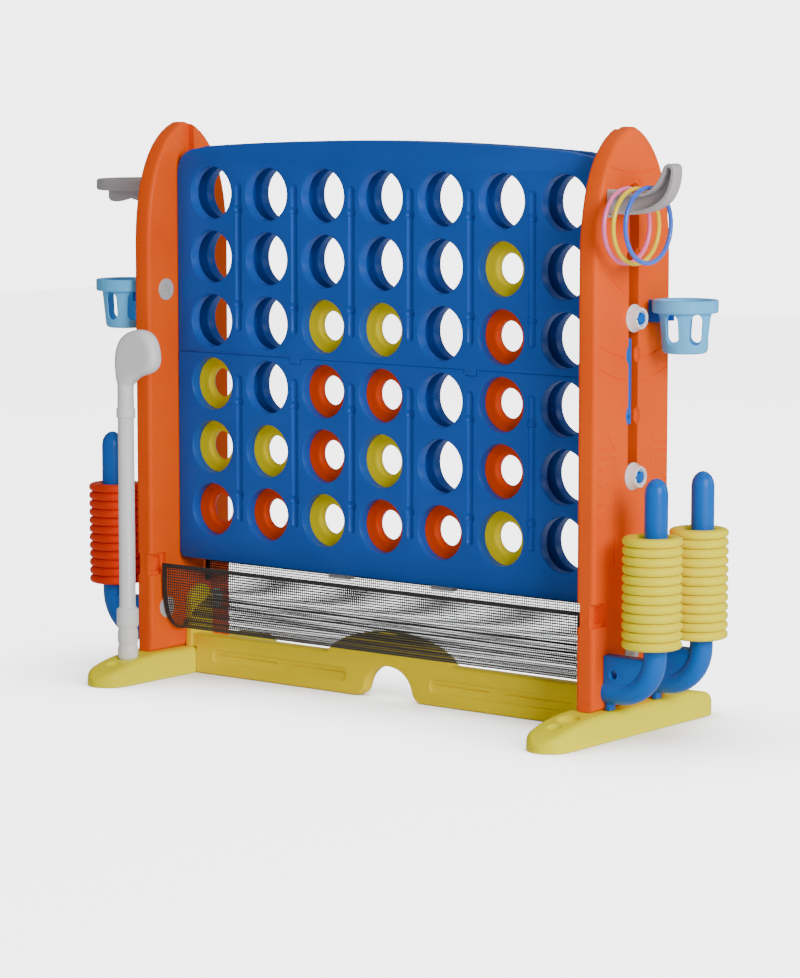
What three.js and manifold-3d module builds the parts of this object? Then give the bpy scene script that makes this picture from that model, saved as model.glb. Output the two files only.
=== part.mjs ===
// Giant four in a row: an upright board of seven columns between two arched towers,
// with loose discs, a catch net, ring pegs, a ring hook, a hoop, two baskets and a club.
//
// Millimetres, +Z up. X runs along the board, and the front, where the club stands, is -Y.
// The model is drawn about the middle of the board and moved at the end, so that its
// origin is the middle of its footprint on the ground.

import * as THREE from 'three';
import { mergeVertices } from 'three/addons/utils/BufferGeometryUtils.js';
import Module from 'manifold-3d';

const wasm = await Module();
wasm.setup();

// ---- driving dimensions ----

const GAP = 0.3;                 // clearance between pieces that touch

// the board
const COLUMNS = 7;
const ROWS = 6;
const COLUMN_PITCH = 136;
const ROW_PITCH = 120;
const FIRST_ROW_Z = 324;         // centre height of the lowest row
const HOLE_R = 51;
const BOARD_HALF = 493.2;        // half the board's width between the towers
const BOARD_BOTTOM = 226;
const BOARD_SHOULDER = 1006;     // where the curved top edge meets the sides
const BOARD_CROWN = 1026;
const SEAM_Z = 622;              // joint between the lower and upper panels
const BOARD_FACE = 34;           // outer faces, front and back
const SLOT_HALF = 11.4;          // inner faces of the panels
const RAIL_WIDTH = 14;
const SIDE_INNER = 477;          // inner face of the side frames

// the discs
const DISC_R = 59.8;
const DISC_HALF = 10;
const DISC_BORE_R = 28;

// the release bar under the discs
const BAR_TOP = 263.6;
const BAR_BOTTOM = 250.4;
const BAR_HALF = 16.6;
const RUNG_WIDTH = 8;
const TAB_X = 121;               // the two pull tabs under the board

// the towers
const TOWER_IN = 493.7;
const TOWER_OUT = 531.7;
const TOWER_CENTRE = 512.7;
const TOWER_HALF = 114.5;
const TOWER_ARCH_Z = 833;        // where the pointed arch of the head begins
const TOWER_TOP = 1056.4;
const GROOVE_HALF = 15.5;
const GROOVE_DEPTH = 14;
const PEG_Z = [452, 727];        // the pegs that clamp the board
const PEG_R = 11;
const KEY_Z = [541, 692];        // the guide key between the pegs
const HEIGHT_TRAVEL = 211.2;     // two steps of the board's height adjustment
const TRACK_HALF = 14.5;         // half width of the slot that the pegs run in

// the base
const FOOT_HALF_W = 41;
const FOOT_HALF_L = 255;
const FOOT_H = 50;
// the foot slopes down to its toe from here
const TOE_FROM = 100;
const CROSSBAR_HALF = 15;
const CROSSBAR_H = 76;
const UPRIGHT_TOP = 168;
const UPRIGHT_HALF = 32;
// the uprights stand a little behind the middle on the left and in front of it on the right
const UPRIGHT_SHIFT = 13;
const UPRIGHT_IN = 478;
const HUMP_HALF = 146;
const HUMP_TOP = 124;
const ARCH_HALF = 62;
const ARCH_TOP = 62;

// the ring pegs and their ring stacks
const POST_X = 631;
const POST_Y = 72;
const POST_R = 20.4;
const POST_TOP = 462;
const POST_RUN_Z = 83;           // axis of the horizontal stretch
const POST_BEND_R = 70;
const RINGS_PER_POST = 12;
const RING_PITCH = 16.2;
const RING_OUTER_R = 52.3;
const RING_BORE_R = 27;
const STACK_Z = 168.5;
// the loose rings hang against one side of their peg
const STACK_LEAN_X = -4.7;
const STACK_LEAN_Y = -3.7;

// the accessories high on the towers
const HOOK_Y = -72;
const HOOK_TOP = 946;
const HOOK_DEPTH = 28;
const TOSS_RING_R = 63.8;
const TOSS_TUBE_R = 4;
const BASKET_X = 592;
const BASKET_Y = 70;
const BASKET_RIM_Z = 758;
const BASKET_RIM_R = 58;
const HOOP_X = 662;
const HOOP_Y = 78;
const HOOP_R = 105.6;
const HOOP_TOP = 944;

// the net: its section from the front edge, under the discs and up behind
const NET_HALF = 490;
const NET_THICKNESS = 2;
const NET_SECTION = [
  [-88, 220], [-88, 167], [-80, 127], [-63, 100], [-40, 89], [-26, 90], [-20.5, 100],
  [-20, 122], [-14, 131], [30, 134], [38, 146], [38, 219],
];

// the club
const CLUB_X = -513;
const CLUB_Y = -161;
const SOCKET_FLOOR = 18;
const SOCKET_R = 21;

// ---- materials ----

function plastic(color, roughness = 0.45) {
  return new THREE.MeshStandardMaterial({ color, roughness, metalness: 0 });
}

const ORANGE = plastic(0xf0651a);
const BLUE = plastic(0x1c5aa6);
const PEG_BLUE = plastic(0x2477c9);
const SKY = plastic(0x86c4ee);
const YELLOW = plastic(0xf2e03c);
const GOLD = plastic(0xdcb914);
const DISC_RED = plastic(0xe0501c);
const DISC_YELLOW = plastic(0xe8d21c);
const GREY = plastic(0xb9b2b2);
const WHITE = plastic(0xe6e6e4);
const PINK = plastic(0xf078aa);
const NET = plastic(0x1c1a19, 0.9);

// ---- helpers ----

const game = new THREE.Group();

function toSolid(geometry) {
  const plain = geometry.clone();
  plain.deleteAttribute('normal');
  plain.deleteAttribute('uv');
  const merged = mergeVertices(plain, 1e-3);
  return new wasm.Manifold(new wasm.Mesh({
    numProp: 3,
    vertProperties: new Float32Array(merged.attributes.position.array),
    triVerts: new Uint32Array(merged.index.array),
  }));
}

function toGeometry(solid) {
  const mesh = solid.getMesh();
  const geometry = new THREE.BufferGeometry();
  geometry.setAttribute('position', new THREE.BufferAttribute(mesh.vertProperties, 3));
  geometry.setIndex(new THREE.BufferAttribute(mesh.triVerts, 1));
  return geometry;
}

function box(x0, x1, y0, y1, z0, z1) {
  const geometry = new THREE.BoxGeometry(x1 - x0, y1 - y0, z1 - z0);
  geometry.translate((x0 + x1) / 2, (y0 + y1) / 2, (z0 + z1) / 2);
  return toSolid(geometry);
}

// A shape drawn in X and Z, given thickness from y0 to y1.
function slabXZ(shape, y0, y1, curveSegments = 12) {
  const geometry = new THREE.ExtrudeGeometry(shape, {
    depth: y1 - y0, bevelEnabled: false, curveSegments,
  });
  geometry.rotateX(Math.PI / 2);
  geometry.translate(0, y1, 0);
  return toSolid(geometry);
}

// A shape drawn in Y and Z, given thickness from x0 to x1.
function slabYZ(shape, x0, x1, curveSegments = 12) {
  const geometry = new THREE.ExtrudeGeometry(shape, {
    depth: x1 - x0, bevelEnabled: false, curveSegments,
  });
  geometry.rotateX(Math.PI / 2);
  geometry.rotateZ(Math.PI / 2);
  geometry.translate(x0, 0, 0);
  return toSolid(geometry);
}

// A profile of [radius, height] pairs turned about a vertical axis.
function turned(profile, segments, x = 0, y = 0, z = 0) {
  const points = profile.map(([r, h]) => new THREE.Vector2(r, h));
  const geometry = new THREE.LatheGeometry(points, segments);
  geometry.rotateX(Math.PI / 2);
  geometry.translate(x, y, z);
  return toSolid(geometry);
}

function closed(profile) {
  return [...profile, profile[0]];
}

function rod(radius, z0, z1, segments, x, y) {
  return turned([[0, z0], [radius, z0], [radius, z1], [0, z1]], segments, x, y);
}

function rodAlongX(radius, x0, x1, segments, y, z) {
  const geometry = new THREE.CylinderGeometry(radius, radius, x1 - x0, segments);
  geometry.rotateZ(Math.PI / 2);
  geometry.translate((x0 + x1) / 2, y, z);
  return toSolid(geometry);
}

function add(name, solid, material, parent = game) {
  const mesh = new THREE.Mesh(toGeometry(solid), material);
  mesh.name = name;
  parent.add(mesh);
  return mesh;
}

const columnX = (column) => (column - (COLUMNS - 1) / 2) * COLUMN_PITCH;
const rowZ = (row) => FIRST_ROW_Z + row * ROW_PITCH;

// ---- the board ----

// Height of the curved top edge at x.
function crownZ(x) {
  const t = x / BOARD_HALF;
  return BOARD_CROWN - (BOARD_CROWN - BOARD_SHOULDER) * t * t;
}

function panelShape(low) {
  const corner = low ? 14 : 36;
  const shape = new THREE.Shape();
  if (low) {
    shape.moveTo(-BOARD_HALF, SEAM_Z - GAP);
    shape.lineTo(-BOARD_HALF, BOARD_BOTTOM + corner);
    shape.quadraticCurveTo(-BOARD_HALF, BOARD_BOTTOM, corner - BOARD_HALF, BOARD_BOTTOM);
    shape.lineTo(BOARD_HALF - corner, BOARD_BOTTOM);
    shape.quadraticCurveTo(BOARD_HALF, BOARD_BOTTOM, BOARD_HALF, BOARD_BOTTOM + corner);
    shape.lineTo(BOARD_HALF, SEAM_Z - GAP);
  } else {
    const edge = BOARD_HALF - corner;
    shape.moveTo(-BOARD_HALF, SEAM_Z + GAP);
    shape.lineTo(BOARD_HALF, SEAM_Z + GAP);
    shape.lineTo(BOARD_HALF, BOARD_SHOULDER - corner);
    shape.quadraticCurveTo(BOARD_HALF, crownZ(BOARD_HALF), edge, crownZ(edge));
    shape.quadraticCurveTo(0, 2 * BOARD_CROWN - crownZ(edge), -edge, crownZ(edge));
    shape.quadraticCurveTo(-BOARD_HALF, crownZ(BOARD_HALF), -BOARD_HALF, BOARD_SHOULDER - corner);
  }
  for (let column = 0; column < COLUMNS; column++) {
    for (let row = 0; row < ROWS / 2; row++) {
      const hole = new THREE.Path();
      hole.absarc(columnX(column), rowZ(low ? row : row + ROWS / 2), HOLE_R, 0, 2 * Math.PI);
      shape.holes.push(hole);
    }
  }
  return shape;
}

function buildPanels() {
  const segments = 6;
  for (const [face, y0, y1] of [
    ['front', -BOARD_FACE, -SLOT_HALF],
    ['back', SLOT_HALF, BOARD_FACE],
  ]) {
    add(`panel_${face}_upper`, slabXZ(panelShape(false), y0, y1, segments), BLUE);
    // the release bar slides in a groove in the lower panels
    const channel = box(
      -SIDE_INNER, SIDE_INNER, -BAR_HALF - GAP, BAR_HALF + GAP, BAR_BOTTOM - GAP, BAR_TOP + GAP,
    );
    const lower = slabXZ(panelShape(true), y0, y1, segments).subtract(channel);
    add(`panel_${face}_lower`, lower, BLUE);
  }
}

function buildRails() {
  for (let i = 1; i < COLUMNS; i++) {
    const x = columnX(i) - COLUMN_PITCH / 2;
    const half = SLOT_HALF - GAP;
    const rail = box(
      x - RAIL_WIDTH / 2, x + RAIL_WIDTH / 2, -half, half, BAR_TOP + 2 * GAP, BOARD_SHOULDER - 4,
    );
    add(`column_rail_${i}`, rail, BLUE);
  }
}

// A side frame closes the end column, runs in the tower's groove and carries two pegs.
function buildSideFrame(name, side) {
  const half = SLOT_HALF - GAP;
  const top = BOARD_SHOULDER - 40;
  const web = box(SIDE_INNER, BOARD_HALF + 1, -half, half, BOARD_BOTTOM + 2, top);
  const tongue = box(
    BOARD_HALF + 0.8, TOWER_IN + GROOVE_DEPTH - 1,
    -GROOVE_HALF + 0.5, GROOVE_HALF - 0.5,
    BOARD_BOTTOM + 2, top,
  );
  const key = box(
    TOWER_IN + GROOVE_DEPTH - 2, TOWER_OUT - 8, -9, 9, KEY_Z[0], KEY_Z[1],
  );
  let frame = web.add(tongue).add(key);
  for (const z of PEG_Z) {
    frame = frame.add(rodAlongX(PEG_R, TOWER_IN, TOWER_OUT + 19, 12, 0, z));
  }
  add(name, frame, PEG_BLUE, side);
}

// The release bar is a ladder: its rungs hold up the discs, and slid half a column
// sideways it lets them fall between the rungs.
function buildReleaseBar() {
  const first = columnX(0) - RUNG_WIDTH / 2;
  const last = columnX(COLUMNS - 1) + RUNG_WIDTH / 2;
  let bar = box(first, last, -BAR_HALF, BAR_HALF, BAR_BOTTOM, BAR_TOP);
  const inner = DISC_HALF + 0.6;
  for (let i = 0; i < COLUMNS - 1; i++) {
    const x0 = columnX(i) + RUNG_WIDTH / 2;
    const x1 = columnX(i + 1) - RUNG_WIDTH / 2;
    bar = bar.subtract(box(x0, x1, -inner, inner, BAR_BOTTOM - 1, BAR_TOP + 1));
  }
  for (const side of [-1, 1]) {
    const x = side * TAB_X;
    bar = bar.add(box(x - 25, x + 25, -8, 8, BOARD_BOTTOM - 12, BAR_BOTTOM + 1));
  }
  add('release_bar', bar, GREY);
}

// ---- the discs ----

// Discs in each column from the bottom up: r for red-orange, y for yellow.
const STACKS = ['ryy', 'ry', 'yrry', 'ryry', 'r', 'yrrry', ''];

function discSolid() {
  const dish = DISC_HALF - 3;
  const profile = closed([
    [DISC_BORE_R, -dish], [DISC_R, -DISC_HALF], [DISC_R, DISC_HALF], [DISC_BORE_R, dish],
  ]);
  return turned(profile, 16);
}

function buildDiscs() {
  const solid = discSolid();
  STACKS.forEach((stack, column) => {
    [...stack].forEach((colour, row) => {
      const material = colour === 'r' ? DISC_RED : DISC_YELLOW;
      const disc = add(`disc_c${column + 1}_r${row + 1}`, solid, material);
      disc.rotation.x = Math.PI / 2;
      disc.position.set(columnX(column), 0, rowZ(row));
    });
  });
}

// ---- the towers and what is fixed to them ----

function towerShape() {
  const shape = new THREE.Shape();
  shape.moveTo(-TOWER_HALF, FOOT_H + GAP);
  shape.lineTo(TOWER_HALF, FOOT_H + GAP);
  shape.lineTo(TOWER_HALF, TOWER_ARCH_Z);
  shape.bezierCurveTo(112, 950, 78, 1030, 8, TOWER_TOP - 1);
  shape.lineTo(0, TOWER_TOP);
  shape.lineTo(-8, TOWER_TOP - 1);
  shape.bezierCurveTo(-78, 1030, -112, 950, -TOWER_HALF, TOWER_ARCH_Z);
  return shape;
}

function capsule(half, z0, z1) {
  const shape = new THREE.Shape();
  shape.moveTo(-half, z0 + half);
  shape.absarc(0, z0 + half, half, Math.PI, 2 * Math.PI, false);
  shape.lineTo(half, z1 - half);
  shape.absarc(0, z1 - half, half, 0, Math.PI, false);
  return shape;
}

function buildTower(name, side) {
  const groove = box(
    TOWER_IN - 1, TOWER_IN + GROOVE_DEPTH, -GROOVE_HALF, GROOVE_HALF, BOARD_BOTTOM - 1,
    TOWER_TOP + 1,
  );
  const low = PEG_Z[0] - PEG_R - 6;
  const high = PEG_Z[1] + HEIGHT_TRAVEL + PEG_R + 6;
  const track = slabYZ(capsule(TRACK_HALF, low - 3, high + 3), TOWER_IN - 1, TOWER_OUT + 1, 5);
  const tower = slabYZ(towerShape(), TOWER_IN, TOWER_OUT, 12).subtract(groove).subtract(track);
  add(name, tower, ORANGE, side);
}

// A lock knob: a white flanged nut round the end of a peg.
function buildKnob(name, z, side) {
  const bore = PEG_R + GAP;
  const profile = closed([
    [bore, 0], [24.6, 0], [24.6, 3], [18, 18], [bore, 18],
  ]);
  const knob = add(name, turned(profile, 14), WHITE, side);
  knob.rotation.y = Math.PI / 2;
  knob.position.set(TOWER_OUT + GAP, 0, z);
}

// A J-shaped peg: out of the tower, round a bend and up, with a web inside the bend.
function buildPost(name, y, side) {
  const x0 = TOWER_OUT + GAP;
  const bendX = POST_X - POST_BEND_R;
  const bendZ = POST_RUN_Z + POST_BEND_R;
  const curve = new THREE.CurvePath();
  curve.add(new THREE.LineCurve3(
    new THREE.Vector3(x0, y, POST_RUN_Z), new THREE.Vector3(bendX, y, POST_RUN_Z),
  ));
  const turns = 6;
  const bend = Array.from({ length: turns + 1 }, (_, i) => {
    const a = (i / turns) * Math.PI / 2;
    return new THREE.Vector3(
      bendX + POST_BEND_R * Math.sin(a), y, bendZ - POST_BEND_R * Math.cos(a),
    );
  });
  const route = new THREE.CatmullRomCurve3([
    new THREE.Vector3(x0, y, POST_RUN_Z), ...bend, new THREE.Vector3(POST_X, y, STACK_Z - 4),
  ], false, 'centripetal');
  const section = new THREE.Shape();
  section.absarc(0, 0, POST_R, 0, 2 * Math.PI);
  const tube = toSolid(new THREE.ExtrudeGeometry(section, {
    steps: 9, extrudePath: route, curveSegments: 6,
  }));
  const neck = POST_TOP - POST_R;
  const upright = turned([
    [0, STACK_Z - 14], [POST_R, STACK_Z - 14], [POST_R, neck], [POST_R * 0.75, neck + POST_R * 0.66], [0, POST_TOP],
  ], 12, POST_X, y);
  const web = new THREE.Shape();
  web.moveTo(x0, POST_RUN_Z);
  web.lineTo(bendX, POST_RUN_Z);
  web.absarc(bendX, bendZ, POST_BEND_R, -Math.PI / 2, 0, false);
  web.lineTo(x0, bendZ + 1);
  const hole = new THREE.Path();
  hole.absarc(x0 + 22, POST_RUN_Z + 34, 7, 0, 2 * Math.PI);
  web.holes.push(hole);
  const tab = box(x0 + 2, x0 + 12, y - 8, y + 8, FOOT_H + 2 * GAP, POST_RUN_Z);
  const post = tube.add(upright).add(slabXZ(web, y - 13, y + 13, 5)).add(tab);
  add(name, post, PEG_BLUE, side);
}

// Twelve rings lying on each other, joined where they touch.
function buildStack(name, y, material, side) {
  const waist = RING_OUTER_R - 6;
  const outer = [];
  for (let i = 0; i < RINGS_PER_POST; i++) {
    const z = STACK_Z + i * RING_PITCH;
    outer.push([waist, z], [RING_OUTER_R, z + RING_PITCH / 2]);
  }
  const top = STACK_Z + RINGS_PER_POST * RING_PITCH;
  outer.push([waist, top]);
  const inner = [[RING_BORE_R, top - 4], [RING_BORE_R, STACK_Z + 4]];
  const stack = turned(closed([...outer, ...inner]), 12, POST_X + STACK_LEAN_X, y + STACK_LEAN_Y);
  add(name, stack, material, side);
}

function basketSolid() {
  const h = BASKET_RIM_Z;
  const profile = [
    [0, h - 93], [36, h - 93], [40, h - 88], [46.5, h - 21], [BASKET_RIM_R, h - 21],
    [BASKET_RIM_R, h], [44, h], [43.5, h - 21], [36.5, h - 89], [0, h - 89],
  ];
  let cup = turned(profile, 16);
  const slots = 6;
  for (let i = 0; i < slots; i++) {
    const cutter = slabYZ(capsule(12.2, h - 77, h - 24), 25, 60, 3);
    cup = cup.subtract(cutter.rotate([0, 0, 31 + (360 / slots) * i]));
  }
  return cup;
}

function buildBasket(tag, side) {
  const basket = add(`basket_${tag}`, basketSolid(), SKY, side);
  basket.position.set(BASKET_X, BASKET_Y, 0);
  const reach = box(
    TOWER_OUT + GAP, BASKET_X - 30, BASKET_Y - 25, BASKET_Y + 25, BASKET_RIM_Z - 40,
    BASKET_RIM_Z - 1,
  );
  const rimRoom = rod(
    BASKET_RIM_R + 0.6, BASKET_RIM_Z - 21.4, BASKET_RIM_Z + 1, 16, BASKET_X, BASKET_Y,
  );
  const cupRoom = rod(47.2, BASKET_RIM_Z - 50, BASKET_RIM_Z, 16, BASKET_X, BASKET_Y);
  add(`basket_bracket_${tag}`, reach.subtract(rimRoom).subtract(cupRoom), BLUE, side);
}

// A curved arm with a hollow front that ends in an upturned tip.
function buildHook(side) {
  const x0 = TOWER_OUT + GAP;
  const arm = new THREE.Shape();
  arm.moveTo(x0, 909);
  arm.lineTo(585, 909);
  arm.quadraticCurveTo(628, 912, 652, 934);
  arm.quadraticCurveTo(668, 952, 670, 984);
  arm.quadraticCurveTo(670, 997, 658, 997);
  arm.quadraticCurveTo(647, 996, 644.5, 986);
  arm.quadraticCurveTo(632, 952, 604, HOOK_TOP);
  arm.lineTo(x0, HOOK_TOP);
  const hollow = new THREE.Shape();
  hollow.moveTo(x0 + 8, 914);
  hollow.lineTo(585, 914);
  hollow.quadraticCurveTo(626, 917, 648, 938);
  hollow.quadraticCurveTo(662, 954, 665, 984);
  hollow.lineTo(650, 984);
  hollow.quadraticCurveTo(636, 947, 604, HOOK_TOP - 5);
  hollow.lineTo(x0 + 8, HOOK_TOP - 5);
  const y0 = HOOK_Y - HOOK_DEPTH / 2;
  const y1 = HOOK_Y + HOOK_DEPTH / 2;
  const solid = slabXZ(arm, y0, y1, 6).subtract(slabXZ(hollow, y0 - 1, y1 - 6, 6));
  add('ring_hook', solid, GREY, side);
}

function buildTossRing(name, x, armTop, material, side) {
  const geometry = new THREE.TorusGeometry(TOSS_RING_R, TOSS_TUBE_R, 6, 22);
  const ring = add(name, toSolid(geometry), material, side);
  const inner = TOSS_RING_R - TOSS_TUBE_R;
  const centre = armTop + 1.4 - Math.sqrt(inner * inner - (HOOK_DEPTH / 2) ** 2);
  ring.rotation.y = Math.PI / 2;
  ring.position.set(x, HOOK_Y, centre);
}

// The hoop: a broad rim over a collar, on an arm fixed to the tower.
function buildHoop(side) {
  const rimLow = HOOP_TOP - 22;
  const low = HOOP_TOP - 45;
  const profile = closed([
    [78, low], [82.4, low], [82.4, rimLow], [HOOP_R, rimLow], [HOOP_R, HOOP_TOP - 4],
    [HOOP_R - 4, HOOP_TOP], [78, HOOP_TOP],
  ]);
  const ring = turned(profile, 28, HOOP_X, -HOOP_Y);
  const arm = box(
    TOWER_OUT + GAP, HOOP_X - 82, -HOOP_Y - 25, -HOOP_Y + 25, HOOP_TOP - 36, HOOP_TOP - 2,
  );
  add('hoop', ring.add(arm), GREY, side);
}

// ---- the base ----

function buildFoot(name, x, socketed) {
  const round = FOOT_HALF_L - FOOT_HALF_W;
  const plan = new THREE.Shape();
  plan.moveTo(FOOT_HALF_W, -round);
  plan.lineTo(FOOT_HALF_W, round);
  plan.absarc(0, round, FOOT_HALF_W, 0, Math.PI, false);
  plan.lineTo(-FOOT_HALF_W, -round);
  plan.absarc(0, -round, FOOT_HALF_W, Math.PI, 2 * Math.PI, false);
  const edge = 10;
  const geometry = new THREE.ExtrudeGeometry(plan, {
    depth: FOOT_H - edge,
    bevelThickness: edge,
    bevelSize: edge,
    bevelOffset: -edge,
    bevelSegments: 2,
    curveSegments: 7,
  });
  const body = toSolid(geometry);
  const room = FOOT_H + 20;
  const toe = new THREE.Shape();
  toe.moveTo(-TOE_FROM, FOOT_H);
  toe.quadraticCurveTo(-195, FOOT_H - 1, -FOOT_HALF_L - 1, 19);
  toe.lineTo(-FOOT_HALF_L - 1, room);
  toe.lineTo(-TOE_FROM, room);
  const heel = new THREE.Shape();
  heel.moveTo(FOOT_HALF_L + 1, 22);
  heel.quadraticCurveTo(FOOT_HALF_L, FOOT_H, 150, FOOT_H);
  heel.lineTo(150, room);
  heel.lineTo(FOOT_HALF_L + 1, room);
  const flat = body.intersect(box(-60, 60, -300, 300, 0, FOOT_H + edge))
    .subtract(slabYZ(toe, -60, 60, 5))
    .subtract(slabYZ(heel, -60, 60, 5));
  const socket = rod(SOCKET_R, SOCKET_FLOOR, FOOT_H + 1, 12, 0, CLUB_Y);
  const foot = add(name, socketed ? flat.subtract(socket) : flat, YELLOW);
  foot.position.x = x;
}

// The crossbar stands on the ground between the feet, with an arch under its middle,
// and an upright plate at each end against the tower.
function buildCrossbar() {
  const inner = TOWER_CENTRE - FOOT_HALF_W - GAP;
  const end = TOWER_IN - GAP;
  const over = FOOT_H + GAP;
  const bar = new THREE.Shape();
  bar.moveTo(-inner, 0);
  bar.lineTo(-ARCH_HALF - 12, 0);
  bar.quadraticCurveTo(-ARCH_HALF + 2, 2, -ARCH_HALF + 6, 18);
  bar.bezierCurveTo(-44, ARCH_TOP + 14, 44, ARCH_TOP + 14, ARCH_HALF - 6, 18);
  bar.quadraticCurveTo(ARCH_HALF - 2, 2, ARCH_HALF + 12, 0);
  bar.lineTo(inner, 0);
  bar.lineTo(inner, over);
  bar.lineTo(end, over);
  bar.lineTo(end, CROSSBAR_H);
  bar.lineTo(HUMP_HALF, CROSSBAR_H);
  bar.bezierCurveTo(HUMP_HALF - 50, HUMP_TOP + 16, 50 - HUMP_HALF, HUMP_TOP + 16, -HUMP_HALF,
    CROSSBAR_H);
  bar.lineTo(-end, CROSSBAR_H);
  bar.lineTo(-end, over);
  bar.lineTo(-inner, over);
  let solid = slabXZ(bar, -CROSSBAR_HALF, CROSSBAR_HALF, 7);
  const plate = new THREE.Shape();
  plate.moveTo(-UPRIGHT_HALF, over);
  plate.lineTo(UPRIGHT_HALF, over);
  plate.lineTo(UPRIGHT_HALF, UPRIGHT_TOP - UPRIGHT_HALF);
  plate.absarc(0, UPRIGHT_TOP - UPRIGHT_HALF, UPRIGHT_HALF, 0, Math.PI, false);
  for (const [x0, x1, y] of [
    [UPRIGHT_IN, end, -UPRIGHT_SHIFT],
    [-end, -UPRIGHT_IN, UPRIGHT_SHIFT],
  ]) {
    solid = solid.add(slabYZ(plate, x0, x1, 6).translate([0, y, 0]));
  }
  add('crossbar', solid, GOLD);
}

// The net that catches the discs, as a thin trough hung between the towers.
function buildNet() {
  const path = NET_SECTION.map(([y, z]) => new THREE.Vector2(y, z));
  const inside = path.map((point, i) => {
    const before = path[Math.max(i - 1, 0)];
    const after = path[Math.min(i + 1, path.length - 1)];
    const along = after.clone().sub(before).normalize();
    return new THREE.Vector2(point.x - along.y * NET_THICKNESS, point.y + along.x * NET_THICKNESS);
  });
  const section = new THREE.Shape([...path, ...inside.reverse()]);
  let net = slabYZ(section, -NET_HALF, NET_HALF);
  const reach = UPRIGHT_HALF + 2;
  for (const [x0, x1, y] of [
    [UPRIGHT_IN - 2, NET_HALF + 1, -UPRIGHT_SHIFT],
    [-NET_HALF - 1, 2 - UPRIGHT_IN, UPRIGHT_SHIFT],
  ]) {
    net = net.subtract(box(x0, x1, y - reach, y + reach, 50, UPRIGHT_TOP + 2.5));
  }
  add('net_trough', net, NET);
}

// The club stands upright in the socket in the left foot.
function buildClub() {
  const shaft = turned([
    [0, SOCKET_FLOOR + GAP], [19, SOCKET_FLOOR + GAP], [19, 104], [21, 110], [21, 138],
    [15.4, 143], [15.4, 502], [18, 503], [18, 520], [15.4, 521], [15.4, 600], [0, 600],
  ], 12);
  const head = new THREE.Shape();
  head.moveTo(-15, 556);
  head.lineTo(15, 556);
  head.quadraticCurveTo(26, 580, 54, 586);
  head.quadraticCurveTo(85, 592, 85, 616);
  head.quadraticCurveTo(84, 671, 40, 671);
  head.quadraticCurveTo(-16, 668, -20, 612);
  const headSolid = slabXZ(head, -17, 17, 6);
  const club = add('club', shaft.add(headSolid), WHITE);
  club.position.set(CLUB_X, CLUB_Y, 0);
}

// ---- assembly ----

buildPanels();
buildRails();
buildReleaseBar();
buildDiscs();

// One side is drawn at +X; the other is the same moulding turned half way round.
for (const tag of ['right', 'left']) {
  const side = new THREE.Group();
  if (tag === 'left') side.rotation.z = Math.PI;
  game.add(side);
  buildSideFrame(`board_side_${tag}`, side);
  buildTower(`tower_${tag}`, side);
  buildKnob(`knob_${tag}_lower`, PEG_Z[0], side);
  buildKnob(`knob_${tag}_upper`, PEG_Z[1], side);
  const rings = tag === 'right' ? DISC_YELLOW : DISC_RED;
  const [front, back] = tag === 'right' ? [-POST_Y, POST_Y] : [POST_Y, -POST_Y];
  buildPost(`post_${tag}_front`, front, side);
  buildPost(`post_${tag}_back`, back, side);
  buildStack(`ring_stack_${tag}_front`, front, rings, side);
  buildStack(`ring_stack_${tag}_back`, back, rings, side);
  buildBasket(tag, side);
  if (tag === 'right') {
    buildHook(side);
    buildTossRing('toss_ring_pink', 566, HOOK_TOP, PINK, side);
    buildTossRing('toss_ring_yellow', 585, HOOK_TOP, DISC_YELLOW, side);
    buildTossRing('toss_ring_blue', 609.5, HOOK_TOP + 2, PEG_BLUE, side);
  } else {
    buildHoop(side);
  }
}

buildFoot('foot_right', TOWER_CENTRE, true);
buildFoot('foot_left', -TOWER_CENTRE, true);
buildCrossbar();
buildNet();
buildClub();

game.updateMatrixWorld(true);
const bounds = new THREE.Box3().setFromObject(game);
const model = new THREE.Group();
game.position.set(-(bounds.min.x + bounds.max.x) / 2, -(bounds.min.y + bounds.max.y) / 2, 0);
model.add(game);
model.updateMatrixWorld(true);

export default model;
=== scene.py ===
# Giant four in a row: the visual model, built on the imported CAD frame.
# Lengths are written in millimetres and turned into metres by the helpers.
# Piece coordinates are measured from the middle of the board; MID moves them into the frame.
import bpy, bmesh
from math import pi, sin, cos, radians, sqrt, copysign
from mathutils import Matrix, Vector


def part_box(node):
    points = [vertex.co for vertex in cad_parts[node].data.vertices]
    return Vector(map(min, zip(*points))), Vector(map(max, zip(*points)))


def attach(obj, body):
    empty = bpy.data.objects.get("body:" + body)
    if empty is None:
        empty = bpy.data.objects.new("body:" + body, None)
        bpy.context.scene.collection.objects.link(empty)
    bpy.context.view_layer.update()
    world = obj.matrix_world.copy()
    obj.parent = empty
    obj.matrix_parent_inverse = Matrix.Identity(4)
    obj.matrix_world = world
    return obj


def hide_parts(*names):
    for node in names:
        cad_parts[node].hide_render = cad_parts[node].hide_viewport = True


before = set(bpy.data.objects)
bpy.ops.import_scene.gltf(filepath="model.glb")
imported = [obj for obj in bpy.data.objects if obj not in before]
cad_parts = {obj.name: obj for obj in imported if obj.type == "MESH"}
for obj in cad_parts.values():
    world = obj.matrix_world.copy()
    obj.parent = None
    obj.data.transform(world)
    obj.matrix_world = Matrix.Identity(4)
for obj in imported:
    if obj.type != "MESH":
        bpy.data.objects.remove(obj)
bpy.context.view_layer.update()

MM = 0.001
low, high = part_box("crossbar")
MID = (low[0] + high[0]) / 2

# ---------------------------------------------------------------- camera
camera_data = bpy.data.cameras.new("camera")
camera = bpy.data.objects.new("camera", camera_data)
bpy.context.scene.collection.objects.link(camera)
camera.location = (3.8628 + MID, -4.8871, 1.1432)
camera.rotation_euler = (radians(90 - 6.894), 0, radians(38.19))
camera_data.sensor_fit = "HORIZONTAL"
camera_data.sensor_width = 36
camera_data.lens = 153.9
bpy.context.scene.camera = camera

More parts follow.
